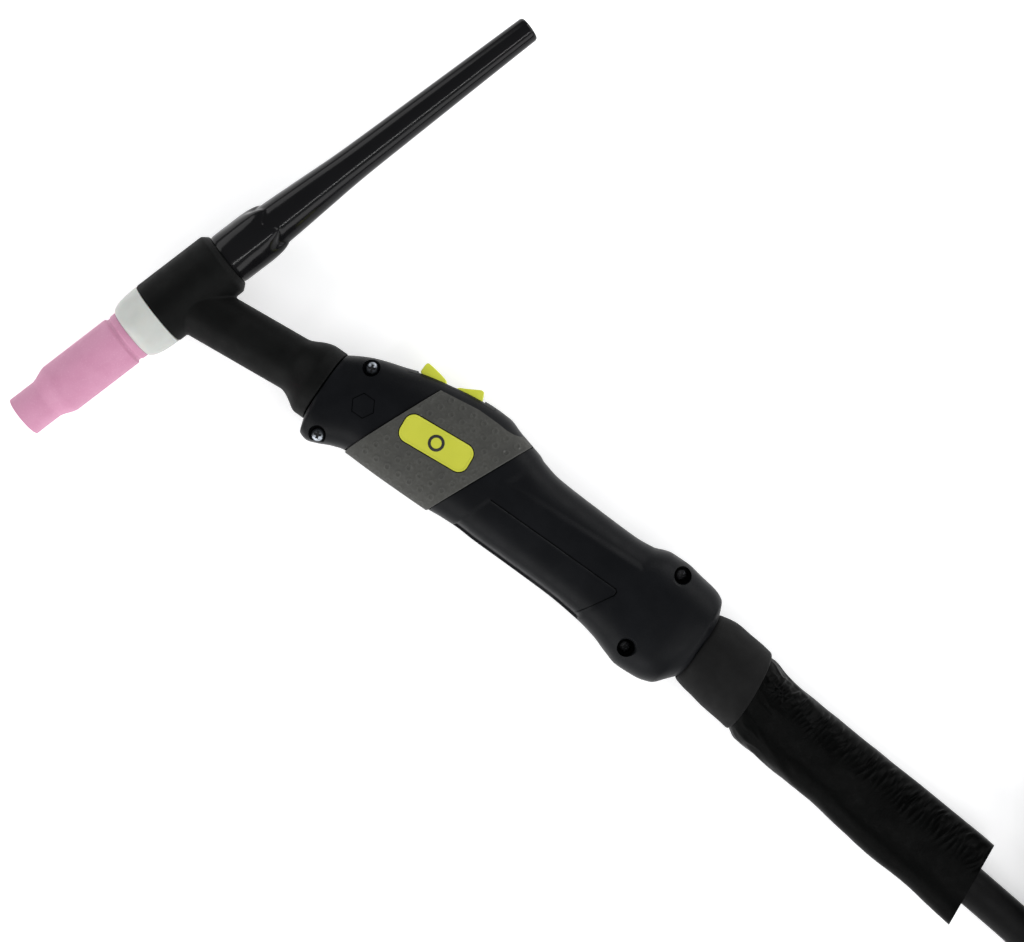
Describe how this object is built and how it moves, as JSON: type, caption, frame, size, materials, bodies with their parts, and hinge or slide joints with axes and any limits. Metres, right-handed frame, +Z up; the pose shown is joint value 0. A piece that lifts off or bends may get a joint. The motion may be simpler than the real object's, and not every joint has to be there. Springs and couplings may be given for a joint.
{
  "type": "tig torch",
  "caption": "TIG welding torch with ceramic nozzle, long back cap, rocker switch handle, leather-sleeved cable wound in a coil, power plug, gas and control connectors.",
  "frame": {"origin": "on the electrode's axis inside the collet, where the neck's axis meets it, in the handle's parting plane", "axes": "+X along the handle towards the cable, +Y in the torch's plane towards the back cap and the switch, +Z up from the surface that the torch lies on"},
  "size_m": [0.7328, 0.2689, 0.031],
  "materials": {
    "ceramic_pink": "matte alumina",
    "ptfe_white": "satin PTFE",
    "seal_grey": "matte",
    "copper": "machined copper",
    "rubber_black": "matte moulded rubber",
    "phenolic_black": "polished",
    "handle_black": "fine satin grain",
    "screw_zinc": "zinc plated",
    "screw_dark": "blackened",
    "panel_grey": "dimpled soft grip",
    "badge_green": "satin label",
    "rocker_yellow": "satin",
    "switch_plastic": "satin",
    "nylon_white": "satin",
    "board_green": "solder mask",
    "lead_red": "PVC",
    "brass": "machined",
    "steel": "machined",
    "cable_rubber": "matte rubber jacket",
    "boot_grey": "smooth matte",
    "leather_black": "wrinkled",
    "tie_black": "hook and loop strap"
  },
  "bodies": {
    "torch": {"collet_body": "copper", "collet": "copper", "insulator": "ptfe_white", "head_core": "copper", "neck_tube": "copper", "head_cover": "rubber_black", "handle_shell_top": "handle_black", "handle_shell_bottom": "handle_black", "front_screws": "screw_zinc", "rear_screws": "screw_dark", "grip_panel_top": "panel_grey", "grip_panel_bottom": "panel_grey", "badge_top": "badge_green", "badge_bottom": "badge_green", "switch_bezel": "handle_black", "rocker_pin": "steel", "switch_housing": "switch_plastic", "switch_board": "board_green", "switch_leads": "lead_red", "hose_nipple": "brass", "hose_ferrule": "steel", "inner_cable": "cable_rubber", "cable_clamp": "switch_plastic", "cable_boot": "boot_grey", "sleeve_ring": "switch_plastic", "leather_sleeve": "leather_black", "cable_lead": "cable_rubber", "cable_coil": "cable_rubber", "coil_tie": "tie_black", "cable_tail": "cable_rubber", "cable_splitter": "rubber_black", "power_plug_body": "rubber_black", "power_plug_pin": "brass", "gas_tail": "cable_rubber", "gas_fitting": "brass", "control_tail": "cable_rubber", "control_plug_shell": "switch_plastic", "control_plug_pins": "brass"},
    "nozzle_seal": {"nozzle_seal": "seal_grey"},
    "nozzle": {"gas_nozzle": "ceramic_pink"},
    "cap_seal": {"cap_seal": "seal_grey"},
    "back_cap": {"back_cap": "phenolic_black"},
    "rocker": {"rocker_button": "rocker_yellow"},
    "front_plunger": {"front_plunger": "nylon_white"},
    "rear_plunger": {"rear_plunger": "nylon_white"},
    "gas_nut": {"gas_nut": "brass"},
    "control_ring": {"control_plug_ring": "steel"}
  },
  "joints": [
    {"name": "nozzle_advance", "type": "slide", "parent": "torch", "child": "nozzle_seal", "axis": [-0.3007, -0.9537, 0], "range_m": [0, 0.01]},
    {"name": "nozzle_turn", "type": "hinge", "parent": "nozzle_seal", "child": "nozzle", "pos_m": [0, 0, 0], "axis": [-0.3007, -0.9537, 0], "range_deg": [0, 1800.5]},
    {"name": "cap_advance", "type": "slide", "parent": "torch", "child": "cap_seal", "axis": [0.3007, 0.9537, 0], "range_m": [0, 0.008]},
    {"name": "cap_turn", "type": "hinge", "parent": "cap_seal", "child": "back_cap", "pos_m": [0, 0, 0], "axis": [0.3007, 0.9537, 0], "range_deg": [0, 2881]},
    {"name": "rocker_tilt", "type": "hinge", "parent": "torch", "child": "rocker", "pos_m": [0.097, 0.025, 0], "axis": [0, 0, 1], "range_deg": [-5, 5], "stiffness_Nm_per_rad": 0.05},
    {"name": "front_plunger_travel", "type": "slide", "parent": "torch", "child": "front_plunger", "axis": [0, 1, 0], "range_m": [-0.0007, 0.0007]},
    {"name": "rear_plunger_travel", "type": "slide", "parent": "torch", "child": "rear_plunger", "axis": [0, 1, 0], "range_m": [-0.0007, 0.0007]},
    {"name": "gas_nut_spin", "type": "hinge", "parent": "torch", "child": "gas_nut", "pos_m": [0.648, 0.107, -0.006], "axis": [0, 1, 0], "continuous": true},
    {"name": "control_ring_spin", "type": "hinge", "parent": "torch", "child": "control_ring", "pos_m": [0.696, -0.054, -0.0063], "axis": [1, 0, 0], "continuous": true}
  ],
  "couplings": [
    {"joint": "nozzle_turn", "follows": "nozzle_advance", "rad_per_m": 3141.6},
    {"joint": "cap_turn", "follows": "cap_advance", "rad_per_m": 6283.2},
    {"joint": "front_plunger_travel", "follows": "rocker_tilt", "m_per_rad": -0.007},
    {"joint": "rear_plunger_travel", "follows": "rocker_tilt", "m_per_rad": 0.007}
  ]
}
